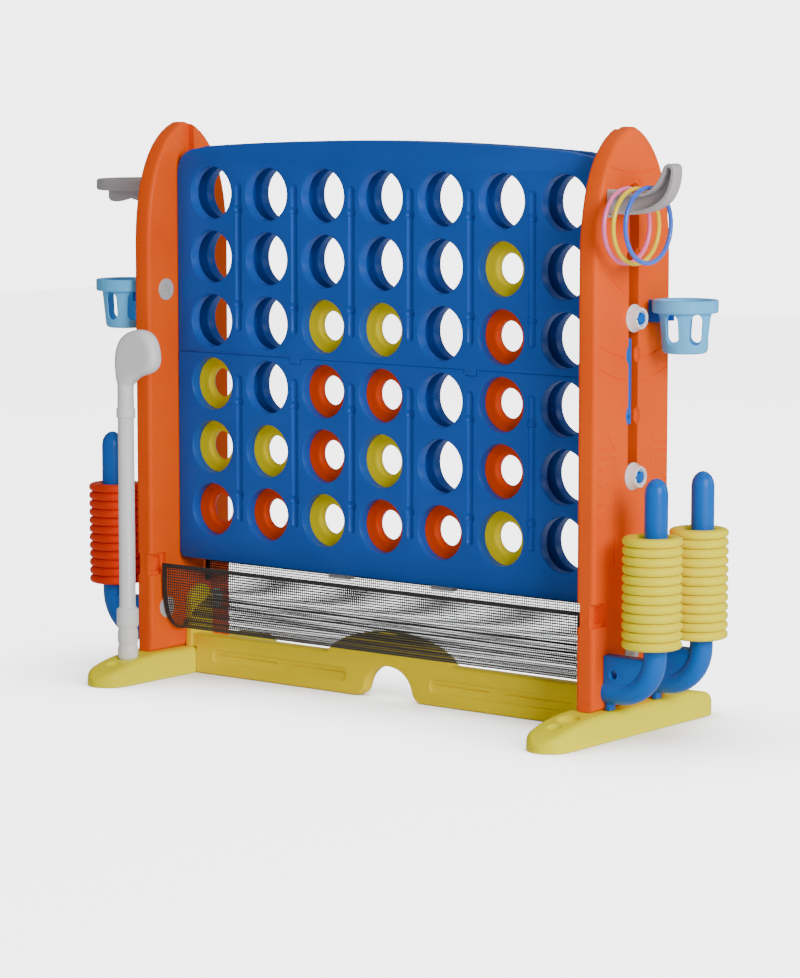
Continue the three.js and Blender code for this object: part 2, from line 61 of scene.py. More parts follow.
# ---------------------------------------------------------------- materials
def material(name, build):
    m = bpy.data.materials.new(name)
    m.use_nodes = True
    nodes, links = m.node_tree.nodes, m.node_tree.links
    build(nodes, links, nodes["Principled BSDF"])
    return m


def plastic(name, dark, light, rough=0.36, grain=900, bump=0.05, mottle=7.0, spec=0.5, coat=0.0):
    """Moulded plastic: slow mottling of the colour, a fine grained skin and uneven gloss."""
    def build(nodes, links, bsdf):
        at = nodes.new("ShaderNodeTexCoord")
        slow = nodes.new("ShaderNodeTexNoise")
        slow.inputs["Scale"].default_value = mottle
        slow.inputs["Detail"].default_value = 3
        links.new(at.outputs["Object"], slow.inputs["Vector"])
        ramp = nodes.new("ShaderNodeValToRGB")
        ramp.color_ramp.elements[0].position = 0.36
        ramp.color_ramp.elements[1].position = 0.66
        ramp.color_ramp.elements[0].color = (*dark, 1)
        ramp.color_ramp.elements[1].color = (*light, 1)
        links.new(slow.outputs["Fac"], ramp.inputs["Fac"])
        links.new(ramp.outputs["Color"], bsdf.inputs["Base Color"])
        fine = nodes.new("ShaderNodeTexNoise")
        fine.inputs["Scale"].default_value = grain
        fine.inputs["Detail"].default_value = 2
        links.new(at.outputs["Object"], fine.inputs["Vector"])
        scuff = nodes.new("ShaderNodeTexNoise")
        scuff.inputs["Scale"].default_value = 38
        scuff.inputs["Detail"].default_value = 5
        scuff.inputs["Roughness"].default_value = 0.7
        links.new(at.outputs["Object"], scuff.inputs["Vector"])
        gloss = nodes.new("ShaderNodeMapRange")
        gloss.inputs["From Min"].default_value = 0.35
        gloss.inputs["From Max"].default_value = 0.7
        gloss.inputs["To Min"].default_value = rough - 0.05
        gloss.inputs["To Max"].default_value = rough + 0.09
        links.new(scuff.outputs["Fac"], gloss.inputs["Value"])
        links.new(gloss.outputs["Result"], bsdf.inputs["Roughness"])
        skin = nodes.new("ShaderNodeBump")
        skin.inputs["Strength"].default_value = bump
        skin.inputs["Distance"].default_value = 0.0004
        links.new(fine.outputs["Fac"], skin.inputs["Height"])
        links.new(skin.outputs["Normal"], bsdf.inputs["Normal"])
        bsdf.inputs["Specular IOR Level"].default_value = spec
        bsdf.inputs["Coat Weight"].default_value = coat
    return material(name, build)


def rgb(r, g, b):
    """Display colour, 0 to 255, as linear."""
    return tuple(((c / 255 + 0.055) / 1.055) ** 2.4 if c > 10 else c / 255 / 12.92 for c in (r, g, b))


ORANGE = plastic("orange_shell", (0.92, 0.094, 0.0), (0.97, 0.112, 0.0), rough=0.4, spec=0.13)
BLUE = plastic("board_blue", (0.004, 0.085, 0.42), (0.007, 0.097, 0.47), rough=0.34, spec=0.22)
PEG = plastic("peg_blue", (0.003, 0.125, 0.54), (0.005, 0.138, 0.60), rough=0.32, spec=0.24)
SKY = plastic("basket_sky", (0.10, 0.52, 0.97), (0.14, 0.57, 1.0), rough=0.34, spec=0.2)
YELLOW = plastic("foot_yellow", (0.97, 0.84, 0.0), (1.0, 0.89, 0.0), rough=0.36, spec=0.14)
# the feet's yellow made darker for the crossbar: painted shade of its front face
YELLOW_PAINTED_SHADE = plastic("crossbar_yellow_painted_shade", (0.93, 0.70, 0.0), (0.98, 0.75, 0.0), rough=0.36, spec=0.14)
DISC_R = plastic("disc_orange", (0.93, 0.062, 0.0), (0.98, 0.076, 0.0), rough=0.34, spec=0.12)
DISC_Y = plastic("disc_yellow", (0.97, 0.76, 0.0), (1.0, 0.80, 0.0), rough=0.34, spec=0.12)
RING_R = plastic("ring_orange", (0.88, 0.036, 0.0), (0.95, 0.046, 0.0), rough=0.34, spec=0.12)
RING_Y = plastic("ring_yellow", (0.99, 0.83, 0.0), (1.0, 0.88, 0.0), rough=0.34, spec=0.14)
GREY = plastic("hook_grey", (0.46, 0.43, 0.44), (0.51, 0.47, 0.48), rough=0.38)
WHITE = plastic("white_shell", (0.90, 0.90, 0.90), (0.95, 0.95, 0.95), rough=0.36)
PINK = plastic("ring_pink", (0.95, 0.16, 0.42), (1.0, 0.19, 0.48), rough=0.28, coat=0.2)
TOSS_Y = plastic("ring_lemon", (0.98, 0.66, 0.0), (1.0, 0.72, 0.0), rough=0.28, coat=0.2)
TOSS_B = plastic("ring_azure", (0.03, 0.13, 0.72), (0.04, 0.16, 0.8), rough=0.28, coat=0.2)


def webbing(nodes, links, bsdf):
    """Black knitted tape with a fine rib."""
    at = nodes.new("ShaderNodeTexCoord")
    rib = nodes.new("ShaderNodeTexWave")
    rib.inputs["Scale"].default_value = 260
    rib.inputs["Distortion"].default_value = 0.6
    links.new(at.outputs["Object"], rib.inputs["Vector"])
    tone = nodes.new("ShaderNodeValToRGB")
    tone.color_ramp.elements[0].color = (*rgb(22, 21, 21), 1)
    tone.color_ramp.elements[1].color = (*rgb(40, 38, 38), 1)
    links.new(rib.outputs["Fac"], tone.inputs["Fac"])
    links.new(tone.outputs["Color"], bsdf.inputs["Base Color"])
    lift = nodes.new("ShaderNodeBump")
    lift.inputs["Strength"].default_value = 0.5
    lift.inputs["Distance"].default_value = 0.0005
    links.new(rib.outputs["Fac"], lift.inputs["Height"])
    links.new(lift.outputs["Normal"], bsdf.inputs["Normal"])
    bsdf.inputs["Roughness"].default_value = 0.85
    bsdf.inputs["Sheen Weight"].default_value = 0.15


def steel(nodes, links, bsdf):
    """Pale brushed metal."""
    at = nodes.new("ShaderNodeTexCoord")
    brushed = nodes.new("ShaderNodeTexNoise")
    brushed.inputs["Scale"].default_value = 600
    links.new(at.outputs["Object"], brushed.inputs["Vector"])
    tone = nodes.new("ShaderNodeValToRGB")
    tone.color_ramp.elements[0].color = (*rgb(178, 176, 174), 1)
    tone.color_ramp.elements[1].color = (*rgb(206, 204, 202), 1)
    links.new(brushed.outputs["Fac"], tone.inputs["Fac"])
    links.new(tone.outputs["Color"], bsdf.inputs["Base Color"])
    bsdf.inputs["Metallic"].default_value = 0.0
    bsdf.inputs["Roughness"].default_value = 0.4


BINDING = material("net_binding", webbing)
STRAND = material("net_strand", webbing)
SCREW = material("screw_cap", steel)

# ---------------------------------------------------------------- mesh helpers
scene = bpy.context.scene


def link(name, mesh, mat=None, body=None, replaces=(), soft_angle=38):
    mesh.name = name
    for p in mesh.polygons:
        p.use_smooth = True
    if soft_angle:
        mesh.set_sharp_from_angle(angle=radians(soft_angle))
    if mat:
        mesh.materials.clear()
        mesh.materials.append(mat)
    obj = bpy.data.objects.new(name, mesh)
    scene.collection.objects.link(obj)
    obj.location.x = MID
    if body:
        finish_piece(obj, body, replaces)
    return obj


def finish_piece(obj, body, replaces=()):
    """Fix the piece to its body, and hide the CAD parts that it stands for."""
    bpy.context.view_layer.update()
    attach(obj, body)
    if replaces:
        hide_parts(*([replaces] if isinstance(replaces, str) else replaces))
    return obj


def mesh_from(verts, faces):
    mesh = bpy.data.meshes.new("m")
    mesh.from_pydata([tuple(c * MM for c in v) for v in verts], [], faces)
    bm = bmesh.new()
    bm.from_mesh(mesh)
    bmesh.ops.remove_doubles(bm, verts=bm.verts, dist=1e-6)
    bmesh.ops.recalc_face_normals(bm, faces=bm.faces)
    bm.to_mesh(mesh)
    bm.free()
    mesh.validate()
    return mesh


def evaluated(obj):
    """The object's mesh with its modifiers applied, and the object removed."""
    graph = bpy.context.evaluated_depsgraph_get()
    graph.update()
    mesh = bpy.data.meshes.new_from_object(obj.evaluated_get(graph))
    bpy.data.objects.remove(obj)
    return mesh


def join(*meshes):
    bm = bmesh.new()
    for mesh in meshes:
        bm.from_mesh(mesh)
    out = bpy.data.meshes.new("joined")
    bm.to_mesh(out)
    bm.free()
    return out


def moved(mesh, matrix):
    out = mesh.copy()
    out.transform(matrix)
    if matrix.determinant() < 0:
        out.flip_normals()
    return out


def at(x, y, z):
    return Matrix.Translation((x * MM, y * MM, z * MM))


def arc(cx, cy, r, a0, a1, n):
    turns = [a0 + (a1 - a0) * i / n for i in range(n + 1)]
    return [(cx + r * cos(a), cy + r * sin(a)) for a in turns]


def circle(cx, cy, r, n=48):
    return arc(cx, cy, r, 0, 2 * pi, n)[:-1]


def rounded(points, radii, n=6):
    """A closed outline with its corners rounded."""
    out = []
    count = len(points)
    for i, p in enumerate(points):
        r = radii[i] if hasattr(radii, "__len__") else radii
        p = Vector(p)
        if r <= 0:
            out.append(tuple(p))
            continue
        a = (Vector(points[i - 1]) - p)
        b = (Vector(points[(i + 1) % count]) - p)
        r = min(r, a.length * 0.49, b.length * 0.49)
        a, b = p + a.normalized() * r, p + b.normalized() * r
        out += [tuple(a.lerp(p, t).lerp(p.lerp(b, t), t)) for t in (k / n for k in range(n + 1))]
    return out


def quad(a, b, c, n=10):
    a, b, c = Vector(a), Vector(b), Vector(c)
    return [tuple(a.lerp(b, t).lerp(b.lerp(c, t), t)) for t in (k / n for k in range(n + 1))]


def bezier(a, b, c, d, n=12):
    a, b, c, d = Vector(a), Vector(b), Vector(c), Vector(d)
    out = []
    for k in range(n + 1):
        t, u = k / n, 1 - k / n
        out.append(tuple(a * u ** 3 + b * 3 * u * u * t + c * 3 * u * t * t + d * t ** 3))
    return out


def plate(outlines, thick, bevel, plane="XZ", steps=3):
    """A flat plate with holes and rounded edges, centred on its plane."""
    data = bpy.data.curves.new("plate", "CURVE")
    data.dimensions = "2D"
    data.fill_mode = "BOTH"
    data.extrude = (thick / 2 - bevel) * MM
    data.bevel_depth = bevel * MM
    data.bevel_resolution = steps
    data.offset = -bevel * MM
    for line in outlines:
        spline = data.splines.new("POLY")
        spline.points.add(len(line) - 1)
        for point, (u, v) in zip(spline.points, line):
            point.co = (u * MM, v * MM, 0, 1)
        spline.use_cyclic_u = True
    obj = bpy.data.objects.new("plate", data)
    scene.collection.objects.link(obj)
    mesh = evaluated(obj)
    turn = Matrix.Rotation(pi / 2, 4, "X")
    if plane == "YZ":
        turn = Matrix.Rotation(pi / 2, 4, "Z") @ turn
    if plane != "XY":
        mesh.transform(turn)
    bm = bmesh.new()
    bm.from_mesh(mesh)
    bmesh.ops.remove_doubles(bm, verts=bm.verts, dist=2e-6)
    bmesh.ops.recalc_face_normals(bm, faces=bm.faces)
    bm.to_mesh(mesh)
    bm.free()
    return mesh


def lathe(profile, n=48, loop=False):
    """Turned about Z. profile is [(radius, z)], from axis to axis, or a closed loop."""
    verts, faces = [], []
    m = len(profile)
    for i in range(n):
        a = 2 * pi * i / n
        verts += [(r * cos(a), r * sin(a), z) for r, z in profile]
    for i in range(n):
        j = (i + 1) % n
        for k in range(m if loop else m - 1):
            after = (k + 1) % m
            faces.append([i * m + k, j * m + k, j * m + after, i * m + after])
    return mesh_from(verts, faces)


def sweep(points, radius, sides=16, cap=True, squash=1.0):
    """A tube along a polyline. radius may be a list."""
    pts = [Vector(p) for p in points]
    radii = radius if hasattr(radius, "__len__") else [radius] * len(pts)
    verts, faces = [], []
    up = Vector((0, 1, 0)) if abs((pts[1] - pts[0]).normalized().y) < 0.9 else Vector((1, 0, 0))
    for i, p in enumerate(pts):
        d = (pts[min(i + 1, len(pts) - 1)] - pts[max(i - 1, 0)]).normalized()
        side = d.cross(up).normalized()
        up = side.cross(d).normalized()
        for k in range(sides):
            a = 2 * pi * (k + 0.5) / sides
            verts.append(tuple(p + (side * cos(a) + up * sin(a) * squash) * radii[i]))
    for i in range(len(pts) - 1):
        for k in range(sides):
            after = (k + 1) % sides
            here, ahead = i * sides, (i + 1) * sides
            faces.append([here + k, here + after, ahead + after, ahead + k])
    if cap:
        faces.append(list(range(sides))[::-1])
        faces.append([(len(pts) - 1) * sides + k for k in range(sides)])
    return mesh_from(verts, faces)


def block(x0, x1, y0, y1, z0, z1, bevel=0, steps=2):
    bm = bmesh.new()
    bmesh.ops.create_cube(bm, size=1)
    for v in bm.verts:
        v.co = Vector((
            (x0 + (v.co.x + 0.5) * (x1 - x0)) * MM,
            (y0 + (v.co.y + 0.5) * (y1 - y0)) * MM,
            (z0 + (v.co.z + 0.5) * (z1 - z0)) * MM,
        ))
    if bevel:
        bmesh.ops.bevel(bm, geom=bm.edges[:], offset=bevel * MM, segments=steps, profile=0.5,
                        affect="EDGES")
    mesh = bpy.data.meshes.new("block")
    bm.to_mesh(mesh)
    bm.free()
    return mesh


def ball(x, y, z, r, sides=16):
    bm = bmesh.new()
    bmesh.ops.create_uvsphere(bm, u_segments=sides, v_segments=sides // 2, radius=r * MM)
    mesh = bpy.data.meshes.new("ball")
    bm.to_mesh(mesh)
    bm.free()
    mesh.transform(at(x, y, z))
    return mesh


def stadium(cu, v0, v1, half, n=10):
    """A slot's outline: two straight sides and two half circles."""
    return arc(cu, v0 + half, half, pi, 2 * pi, n) + arc(cu, v1 - half, half, 0, pi, n)


def combine(mesh, others, operation="DIFFERENCE"):
    """mesh with each of the others cut from it, or joined to it."""
    obj = bpy.data.objects.new("base", mesh)
    scene.collection.objects.link(obj)
    tools = []
    for other in others:
        tool = bpy.data.objects.new("tool", other)
        scene.collection.objects.link(tool)
        tool.hide_render = True
        tools.append(tool)
        step = obj.modifiers.new("cut", "BOOLEAN")
        step.operation = operation
        step.object = tool
        step.solver = "EXACT"
    bpy.context.view_layer.update()
    out = evaluated(obj)
    for tool in tools:
        bpy.data.objects.remove(tool)
    return out


def cut(mesh, *others):
    return combine(mesh, others)


# The left tower and everything on it is the right-hand moulding turned half way round.
SIDES = {"right": Matrix.Identity(4), "left": Matrix.Rotation(pi, 4, "Z")}


def on_side(side, name, mesh, mat, body, replaces=(), soft_angle=38):
    """A piece drawn at +X, put on that tower."""
    obj = link(name, mesh, mat, soft_angle=soft_angle)
    obj.matrix_world = Matrix.Translation((MID, 0, 0)) @ SIDES[side]
    return finish_piece(obj, body, replaces)


# ---------------------------------------------------------------- board
PITCH, ROW, FIRST_ROW = 136, 120, 324
BOARD_HALF, BOTTOM, SEAM, CROWN = 493, 226, 622, 1026
FACE, INNER = 34, 11.4


def column_x(i):
    return (i - 3) * PITCH


def seam_line(gap):
    """The line between the upper and the lower moulding, with its two tabs, from left to right."""
    z, half = SEAM + gap, 12.6 - gap
    line = [(-BOARD_HALF, z)]
    for x in (-204, 204):
        line += [(x - half, z), (x - half, z - 10.5), (x + half, z - 10.5), (x + half, z)]
    return line + [(BOARD_HALF, z)]


def board_outline(low_half):
    if low_half:
        seam = seam_line(-0.03)[::-1]
        foot = [(-BOARD_HALF, BOTTOM), (BOARD_HALF, BOTTOM)]
        return rounded(seam + foot, [0.8] * len(seam) + [16, 16])
    crown = [(x, CROWN - 20 * (x / BOARD_HALF) ** 2) for x in range(420, -421, -30)]
    right = quad((BOARD_HALF, 960), (BOARD_HALF - 4, 1005), (BOARD_HALF - 52, 1007), 12)
    left = [(-x, z) for x, z in reversed(right)]
    return seam_line(0.03) + right + crown + left


def panel_mesh(low_half):
    """A board moulding at the front: round openings, and a rib with two bulbs between the columns."""
    rows = range(3) if low_half else range(3, 6)
    lines = [board_outline(low_half)]
    for i in range(7):
        for r in rows:
            lines.append(circle(column_x(i), FIRST_ROW + r * ROW, 49.6, 56))
    mesh = plate(lines, FACE - INNER, 2.1)
    mesh.transform(at(0, -(FACE + INNER) / 2, 0))
    z0, z1, dimples = (305, 584, (357, 534)) if low_half else (666, 944, (717, 895))
    tools = []
    for i in range(6):
        x = column_x(i) + PITCH / 2
        y = -FACE - 2.4
        ends = [(x, y, z0 + 8.4 - 8.4 * cos(t)) for t in (0.25, 0.6, 1.0, pi / 2)]
        sizes = [8.4 * sin(t) for t in (0.25, 0.6, 1.0, pi / 2)]
        tops = [(x, y, z1 - (p[2] - z0)) for p in reversed(ends)]
        groove = sweep(ends + tops, sizes + sizes[::-1], 20)
        tools.append(groove)
    bulbs = [ball(column_x(i) + PITCH / 2, -FACE - 1.6, z, 11, 20) for i in range(6) for z in dimples]
    mesh = combine(mesh, tools + bulbs)
    if low_half:
        mesh = cut(mesh, block(-478, 478, -17, 0, 250, 264))
    return mesh


for half, low_half in (("upper", False), ("lower", True)):
    front = panel_mesh(low_half)
    link(f"board_front_{half}", front, BLUE, "board", f"panel_front_{half}", 30)
    back = moved(front, Matrix.Rotation(pi, 4, "Z"))
    link(f"board_back_{half}", back, BLUE, "board", f"panel_back_{half}", 30)

# ---------------------------------------------------------------- discs
STACKS = ["ryy", "ry", "yrry", "ryry", "r", "yrrry", ""]


def disc_mesh():
    """A disc with a hole, a raised inner collar and a raised rim, the same on both faces."""
    front = [(27.2, 0), (27.4, 4.5), (28.4, 7.6), (30.6, 8.7), (34, 8.2), (42, 7.2), (50, 8.2),
             (54.5, 9.6), (57.6, 9.8), (59.3, 8.6), (59.8, 6)]
    back = [(r, -z) for r, z in reversed(front)][:-1]
    return lathe(front + back, 64, loop=True)


disc_data = disc_mesh()
for column, stack in enumerate(STACKS):
    for row, colour in enumerate(stack):
        name = f"disc_c{column + 1}_r{row + 1}"
        mesh = moved(disc_data, Matrix.Rotation(pi / 2, 4, "X"))
        disc = link(f"{name}_moulded", mesh, DISC_R if colour == "r" else DISC_Y, soft_angle=50)
        seat = at(column_x(column), 0, FIRST_ROW + row * ROW)
        disc.matrix_world = Matrix.Translation((MID, 0, 0)) @ seat
        finish_piece(disc, name, name)

# ---------------------------------------------------------------- towers
IN, OUT = 493.7, 531.7
TOWER_HALF, TOWER_TOP = 114.3, 1056.4


def tower_outline():
    head = bezier((TOWER_HALF, 833), (112, 950), (78, 1030), (8, TOWER_TOP - 1))
    right = [(TOWER_HALF, 51), *head]
    left = [(-y, z) for y, z in reversed(right)]
    return right + [(0, TOWER_TOP - 0.2)] + left


def engraved(points, r=2.3):
    """The cutter for a shallow groove in the tower's outer face."""
    return sweep([(OUT + 0.2, y, z) for y, z in points], r, 8)


def curve_through(a, b, c, n=14):
    """An arc of a parabola through three points in Y and Z."""
    (y0, z0), (y1, z1), (y2, z2) = a, b, c
    out = []
    for k in range(n + 1):
        y = y0 + (y2 - y0) * k / n
        out.append((y, z0 * (y - y1) * (y - y2) / ((y0 - y1) * (y0 - y2))
                    + z1 * (y - y0) * (y - y2) / ((y1 - y0) * (y1 - y2))
                    + z2 * (y - y0) * (y - y1) / ((y2 - y0) * (y2 - y1))))
    return out


def tower_mesh():
    """An end moulding: a slot, a track, dished rests beside the slot, corner notches and grooves."""
    mesh = plate([tower_outline()], OUT - IN, 8, "YZ", 4)
    mesh.transform(at((IN + OUT) / 2, 0, 0))
    slot = plate([stadium(0, 430, 957, 14.5)], 60, 0.01, "YZ", 0)
    slot.transform(at(OUT, 0, 0))
    tools = [slot, block(IN - 5, IN + 14, -15.5, 15.5, 226, 1100)]
    for z in (452, 558, 664, 727, 833, 938):
        dish = lathe([(0, -8), (17, -8), (21.5, -1.8), (22.5, 6), (0, 6)], 32)
        dish.transform(at(OUT, 0, z) @ Matrix.Rotation(pi / 2, 4, "Y"))
        tools.append(dish)
    for y in (-1, 1):
        for face, depth in ((OUT, -9), (IN, 9)):
            low_x, high_x = sorted((face + depth, face - depth))
            tools.append(block(low_x, high_x, *sorted((y * 74, y * 122)), 197, 239, 1.5))
            low_x, high_x = sorted((face + 2 * depth, face))
            tools.append(block(low_x, high_x, *sorted((y * 80, y * 100)), 203, 233, 1))
    mesh = combine(mesh, tools)
    lines = [
        curve_through((-78, 989), (-5, 977), (77, 988)),
        arc(2, 947, 20.5, radians(12), radians(152), 12),
        arc(-14, 838, 66, radians(212), radians(256), 10),
        arc(-14, 838, 66, radians(298), radians(330), 10),
        curve_through((-104, 684), (-60, 668), (-24, 659)),
        curve_through((24, 657), (60, 664), (89, 674)),
        curve_through((-104, 645), (-60, 628), (-24, 619)),
        curve_through((24, 617), (64, 625), (104, 637)),
        [(-80, 534), (-53, 503)],
        [(-104, 505), (-62, 505)],
        [(-104, 491), (-58, 491)],
        [(-54, 488), (-54, 301)],
        [(54, 488), (54, 301)],
        [(58, 491), (104, 491)],
        [(62, 505), (104, 505)],
        [(53, 503), (80, 534)],
    ]
    for z in (350, 380, 410, 440, 470):
        lines += [[(-104, z), (-92, z)], [(92, z), (104, z)]]
    return combine(mesh, [join(*[engraved(line) for line in lines])])


tower_data = tower_mesh()
for side in SIDES:
    on_side(side, f"tower_{side}_shell", tower_data.copy(), ORANGE, "stand", f"tower_{side}", 32)

# ---------------------------------------------------------------- side frames and their pins
PIN_Z = {"lower": 452, "upper": 727}


def side_frame_mesh():
    """The board's side frame: a post, a tongue in the tower's track, a key and two notched pins."""
    pieces = [
        block(477, 494, -11, 11, 228, 966, 1.5),
        block(494.5, 506.6, -14.8, 14.8, 228, 966, 1.2),
        cut(block(505, 523.5, -9, 9, 541, 692, 3.5, 3), block(515, 530, -2, 2, 552, 558)),
    ]
    for z in PIN_Z.values():
        peg = lathe([(0, 0), (10.9, 0), (10.9, 15), (10.4, 43), (9.4, 44.3), (7, 44.9), (0, 45.2)], 32)
        notches = []
        for k in range(3):
            a = radians(90 + 120 * k)
            notch = block(8.2, 13, -2, 2, 40, 50)
            notch.transform(Matrix.Rotation(a, 4, "Z"))
            notches.append(notch)
        peg = cut(peg, *notches)
        peg.transform(at(506, 0, z) @ Matrix.Rotation(pi / 2, 4, "Y"))
        pieces.append(peg)
    return join(*pieces)


frame_data = side_frame_mesh()
for side in SIDES:
    on_side(side, f"side_frame_{side}", frame_data.copy(), PEG, "board", f"board_side_{side}")

# ---------------------------------------------------------------- knobs
def knob_mesh():
    """A round knob with a flange and three slits in its hub."""
    mesh = lathe([(11.35, 0), (24.2, 0), (24.6, 1.2), (24.1, 2.8), (22.8, 4), (21.6, 6.6), (20.2, 10.6),
                  (18.9, 14.8), (18.5, 16.8), (18, 18), (16.6, 18.7), (15, 18.3), (14, 16.6),
                  (13.4, 12), (11.35, 11)], 48, loop=True)
    tools = []
    for k in range(3):
        a = radians(30 + 120 * k)
        slit = block(11, 30, -1.6, 1.6, 15.4, 30)
        slit.transform(Matrix.Rotation(a, 4, "Z"))
        tools.append(slit)
    mesh = cut(mesh, *tools)
    mesh.transform(Matrix.Rotation(pi / 2, 4, "Y"))
    return mesh


knob_data = knob_mesh()
for side in SIDES:
    for level, z in PIN_Z.items():
        mesh = moved(knob_data, at(OUT + 0.3, 0, z))
        knob = f"knob_{side}_{level}"
        on_side(side, f"lock_{knob}", mesh, WHITE, knob, knob, 45)

# ---------------------------------------------------------------- screws
def screw_mesh(r=20.5):
    """A low cap with a cross slot and a ring groove."""
    head = lathe([(0, 0), (r, 0), (r, 1.2), (r - 1.2, 2), (6, 2.4), (0, 2.45)], 40)
    a = block(-r * 0.5, r * 0.5, -2, 2, 0.3, 6)
    b = block(-2, 2, -r * 0.5, r * 0.5, 0.3, 6)
    ring = lathe([(r - 3.4, 1.7), (r - 2.8, 1.7), (r - 2.8, 5), (r - 3.4, 5)], 40, loop=True)
    turn = Matrix.Rotation(radians(24), 4, "Z")
    a.transform(turn)
    b.transform(turn)
    return cut(head, a, b, ring)


screw_data = screw_mesh()
for side in SIDES:
    for n, (y, z) in enumerate([(67, 741), (-71, 133), (71, 133)]):
        mesh = moved(screw_data, at(IN, y, z) @ Matrix.Rotation(-pi / 2, 4, "Y"))
        on_side(side, f"screw_cap_{side}_{n + 1}", mesh, SCREW, "stand")
    outer_cap = moved(screw_data, at(OUT, 2.5, 143) @ Matrix.Rotation(pi / 2, 4, "Y"))
    on_side(side, f"screw_cap_{side}_outer", outer_cap, SCREW, "stand")

# ---------------------------------------------------------------- ring pegs and their rings
POST_X, POST_Z, BEND = 631, 83, 70
POST_R, POST_DOME = 20.4, 436
STACK_Z, RING_H = 168.5, 16.2


def post_mesh():
    """A bent ring peg with a domed end and a gusset in its bend."""
    route = [(OUT + 0.4, 0, POST_Z), (OUT + 14, 0, POST_Z)]
    cx, cz = POST_X - BEND, POST_Z + BEND
    route += [(x, 0, z) for x, z in arc(cx, cz, BEND, -pi / 2, 0, 16)]
    route += [(POST_X, 0, 200), (POST_X, 0, 330), (POST_X, 0, POST_DOME)]
    sizes = [POST_R] * len(route)
    for t in (0.25, 0.5, 0.75, 0.92, 1.0):
        route.append((POST_X, 0, POST_DOME + 26 * sin(t * pi / 2)))
        sizes.append(POST_R * cos(t * pi / 2) + 0.02)
    tube = sweep(route, sizes, 32)
    web = [(OUT + 0.4, POST_Z - 4), *arc(cx, cz, BEND, radians(-82.5), radians(-7.5), 10)]
    web += [(POST_X - 6, cz - 5), (OUT + 0.4, cz - 5)]
    gusset = plate([web, circle(OUT + 22, POST_Z + 33, 7.4, 24)], 27, 2.2)
    boss = lathe([(8.6, 10), (11.5, 10), (11.5, 14.6), (8.6, 14.6)], 24, loop=True)
    boss.transform(at(OUT + 22, 0, POST_Z + 33) @ Matrix.Rotation(pi / 2, 4, "X"))
    tab = block(OUT + 2.5, OUT + 12, -9, 9, 51, 74, 1)
    return join(tube, gusset, boss, tab)


def ring_mesh():
    """A throwing ring with a soft, boxy section."""
    mid, wide, tall = 39.7, 12.5, 8.0
    profile = []
    for k in range(16):
        c, s = cos(2 * pi * k / 16), sin(2 * pi * k / 16)
        profile.append((mid + copysign(wide * abs(c) ** 0.8, c), copysign(tall * abs(s) ** 0.8, s)))
    return lathe(profile, 56, loop=True)


post_data, ring_data = post_mesh(), ring_mesh()
for side in SIDES:
    near, far = (-72, 72) if side == "right" else (72, -72)
    colour = RING_Y if side == "right" else RING_R
    for place, y in (("front", near), ("back", far)):
        post = moved(post_data, at(0, y, 0))
        on_side(side, f"ring_post_{side}_{place}", post, PEG, "stand", f"post_{side}_{place}", 34)
        for n in range(12):
            mesh = moved(ring_data, at(POST_X - 4.7, y - 3.7, STACK_Z + RING_H * (n + 0.5)))
            stack = f"ring_stack_{side}_{place}"
            on_side(side, f"ring_{side}_{place}_{n + 1:02d}", mesh, colour, stack, stack, 60)

# ---------------------------------------------------------------- hook and tossing rings
HOOK_Y, TOSS_R = -72, 63.8


def hook_mesh():
    """A curved hook, hollow from its far side, on a base plate with two screw holes."""
    x0 = OUT + 0.4
    arm = [(x0, 909)]
    arm += quad((585, 909), (628, 912), (652, 934))
    arm += quad((652, 934), (668, 952), (669.6, 983))[1:]
    arm += quad((669.6, 983), (669.8, 996.6), (658, 996.6), 6)[1:]
    arm += quad((658, 996.6), (647.4, 995.6), (644.7, 985), 6)[1:]
    arm += quad((644.7, 985), (632, 952), (604, 946))[1:]
    arm += [(x0, 946)]
    solid = plate([arm], 27.6, 2.4)
    hollow = [(x0 + 12, 915)]
    hollow += quad((585, 915), (625, 918), (647, 939))
    hollow += quad((647, 939), (661, 955), (663.6, 983))[1:]
    hollow += quad((663.6, 983), (663, 990.5), (657.5, 990.5), 5)[1:]
    hollow += quad((657.5, 990.5), (652, 990), (650, 983), 5)[1:]
    hollow += quad((650, 983), (636, 946), (604, 940.5))[1:]
    hollow += [(x0 + 12, 940.5)]
    room = plate([rounded(hollow, 1.5, 2)], 27.6, 0.4)
    room.transform(at(0, -6, 0))
    solid = cut(solid, room)
    base = block(x0, x0 + 4.5, -13, 15, 903, 951, 1.6)
    holes = []
    for y, z in ((-9, 907.5), (-9, 946.5)):
        hole = lathe([(0, 0), (2.6, 0), (2.6, 8), (0, 8)], 16)
        hole.transform(at(x0 - 1, y, z) @ Matrix.Rotation(pi / 2, 4, "Y"))
        holes.append(hole)
    base = cut(base, *holes)
    mesh = join(solid, base)
    mesh.transform(at(0, HOOK_Y, 0))
    return mesh


on_side("right", "hook_arm", hook_mesh(), GREY, "stand", "ring_hook", 40)
for name, x, mat in (("pink", 566, PINK), ("yellow", 585, TOSS_Y), ("blue", 609.5, TOSS_B)):
    lo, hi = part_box(f"toss_ring_{name}")
    z = (lo[2] + hi[2]) / 2 / MM
    profile = [(TOSS_R + 3.9 * cos(a), 3.9 * sin(a)) for a in (2 * pi * k / 16 for k in range(16))]
    hoop_ring = lathe(profile, 72, loop=True)
    turn = Matrix.Rotation(radians(-3), 4, "Z") @ Matrix.Rotation(pi / 2, 4, "Y")
    hoop_ring.transform(at(x, HOOK_Y, z) @ turn)
    on_side("right", f"tossing_ring_{name}", hoop_ring, mat, f"toss_ring_{name}", f"toss_ring_{name}", 60)

# ---------------------------------------------------------------- baskets
BASKET_X, BASKET_Y = 592, 70


